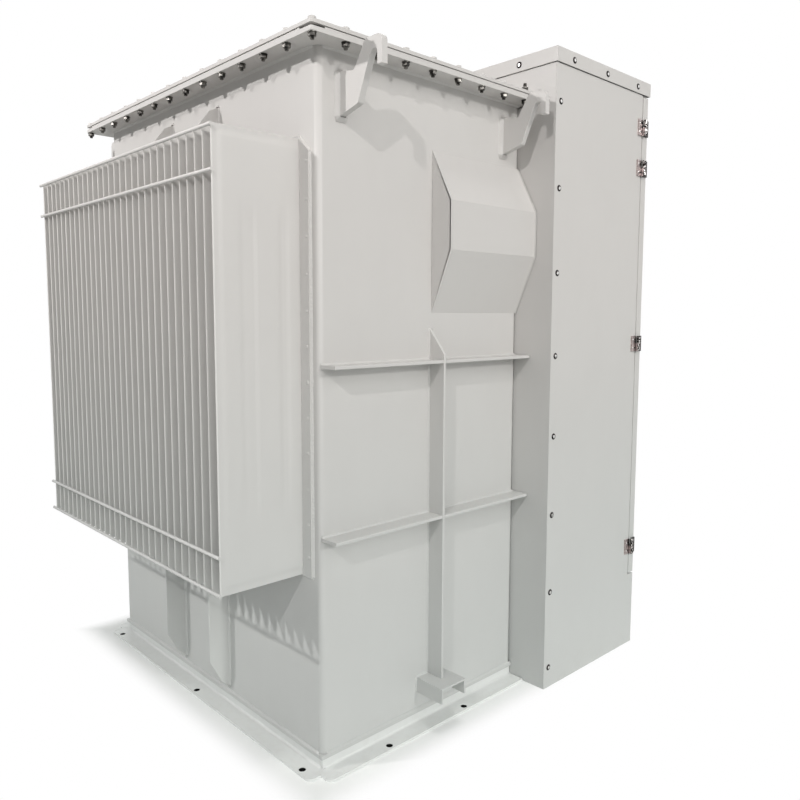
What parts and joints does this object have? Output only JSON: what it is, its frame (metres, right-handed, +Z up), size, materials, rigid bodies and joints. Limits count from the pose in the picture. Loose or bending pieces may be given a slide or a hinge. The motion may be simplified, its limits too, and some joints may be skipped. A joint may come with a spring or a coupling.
{
  "type": "power transformer with terminal cabinet",
  "caption": "Oil-filled power transformer: welded tank with bolted cover, finned radiator, lifting hooks and a tall terminal cabinet with two hinged door leaves.",
  "frame": {"origin": "middle of the overall footprint, at floor level", "axes": "+Z up; -X towards the radiator, +X towards the cabinet's doors, -Y towards the long tank face with the cable hood"},
  "size_m": [1.78, 1.728, 2.236],
  "materials": {
    "tank_paint": "light warm grey enamel",
    "base_paint": "light warm grey enamel",
    "gasket_rubber": "black matt",
    "hinge_steel": "dull steel"
  },
  "bodies": {
    "transformer": {"cabinet_back": "tank_paint", "cabinet_door_frame": "tank_paint", "cabinet_hat": "tank_paint", "cabinet_side_front": "tank_paint", "cabinet_side_rear": "tank_paint", "cable_hood": "tank_paint", "cover_gasket": "gasket_rubber", "cover_plate": "tank_paint", "foot_front": "base_paint", "foot_radiator_end": "base_paint", "foot_rear": "base_paint", "hinge_front_1": "hinge_steel", "hinge_front_2": "hinge_steel", "hinge_front_3": "hinge_steel", "hinge_front_4": "hinge_steel", "hinge_rear_1": "hinge_steel", "hinge_rear_2": "hinge_steel", "hinge_rear_3": "hinge_steel", "hinge_rear_4": "hinge_steel", "hook_front_cabinet_end": "tank_paint", "hook_front_radiator_end": "tank_paint", "hook_rear_cabinet_end": "tank_paint", "hook_rear_radiator_end": "tank_paint", "jacking_pad_front": "tank_paint", "jacking_pad_rear": "tank_paint", "radiator_fins": "tank_paint", "radiator_rod_lower_inner": "tank_paint", "radiator_rod_lower_outer": "tank_paint", "radiator_rod_upper_inner": "tank_paint", "radiator_rod_upper_outer": "tank_paint", "rib_front_lower": "tank_paint", "rib_front_upper": "tank_paint", "rib_rear_lower": "tank_paint", "rib_rear_upper": "tank_paint", "stiffener_front_lower": "tank_paint", "stiffener_front_post": "tank_paint", "stiffener_front_upper": "tank_paint", "stiffener_rear_lower": "tank_paint", "stiffener_rear_post": "tank_paint", "stiffener_rear_upper": "tank_paint", "tank_bottom": "tank_paint", "tank_flange": "tank_paint", "tank_wall": "tank_paint"},
    "front_door_leaf": {"door_front": "tank_paint"},
    "rear_door_leaf": {"door_rear": "tank_paint"}
  },
  "joints": [
    {"name": "front_door_hinge", "type": "hinge", "parent": "transformer", "child": "front_door_leaf", "pos_m": [0.846, -0.848, 1], "axis": [0, 0, -1], "range_deg": [0, 120]},
    {"name": "rear_door_hinge", "type": "hinge", "parent": "transformer", "child": "rear_door_leaf", "pos_m": [0.846, 0.848, 1], "axis": [0, 0, 1], "range_deg": [0, 120]}
  ]
}
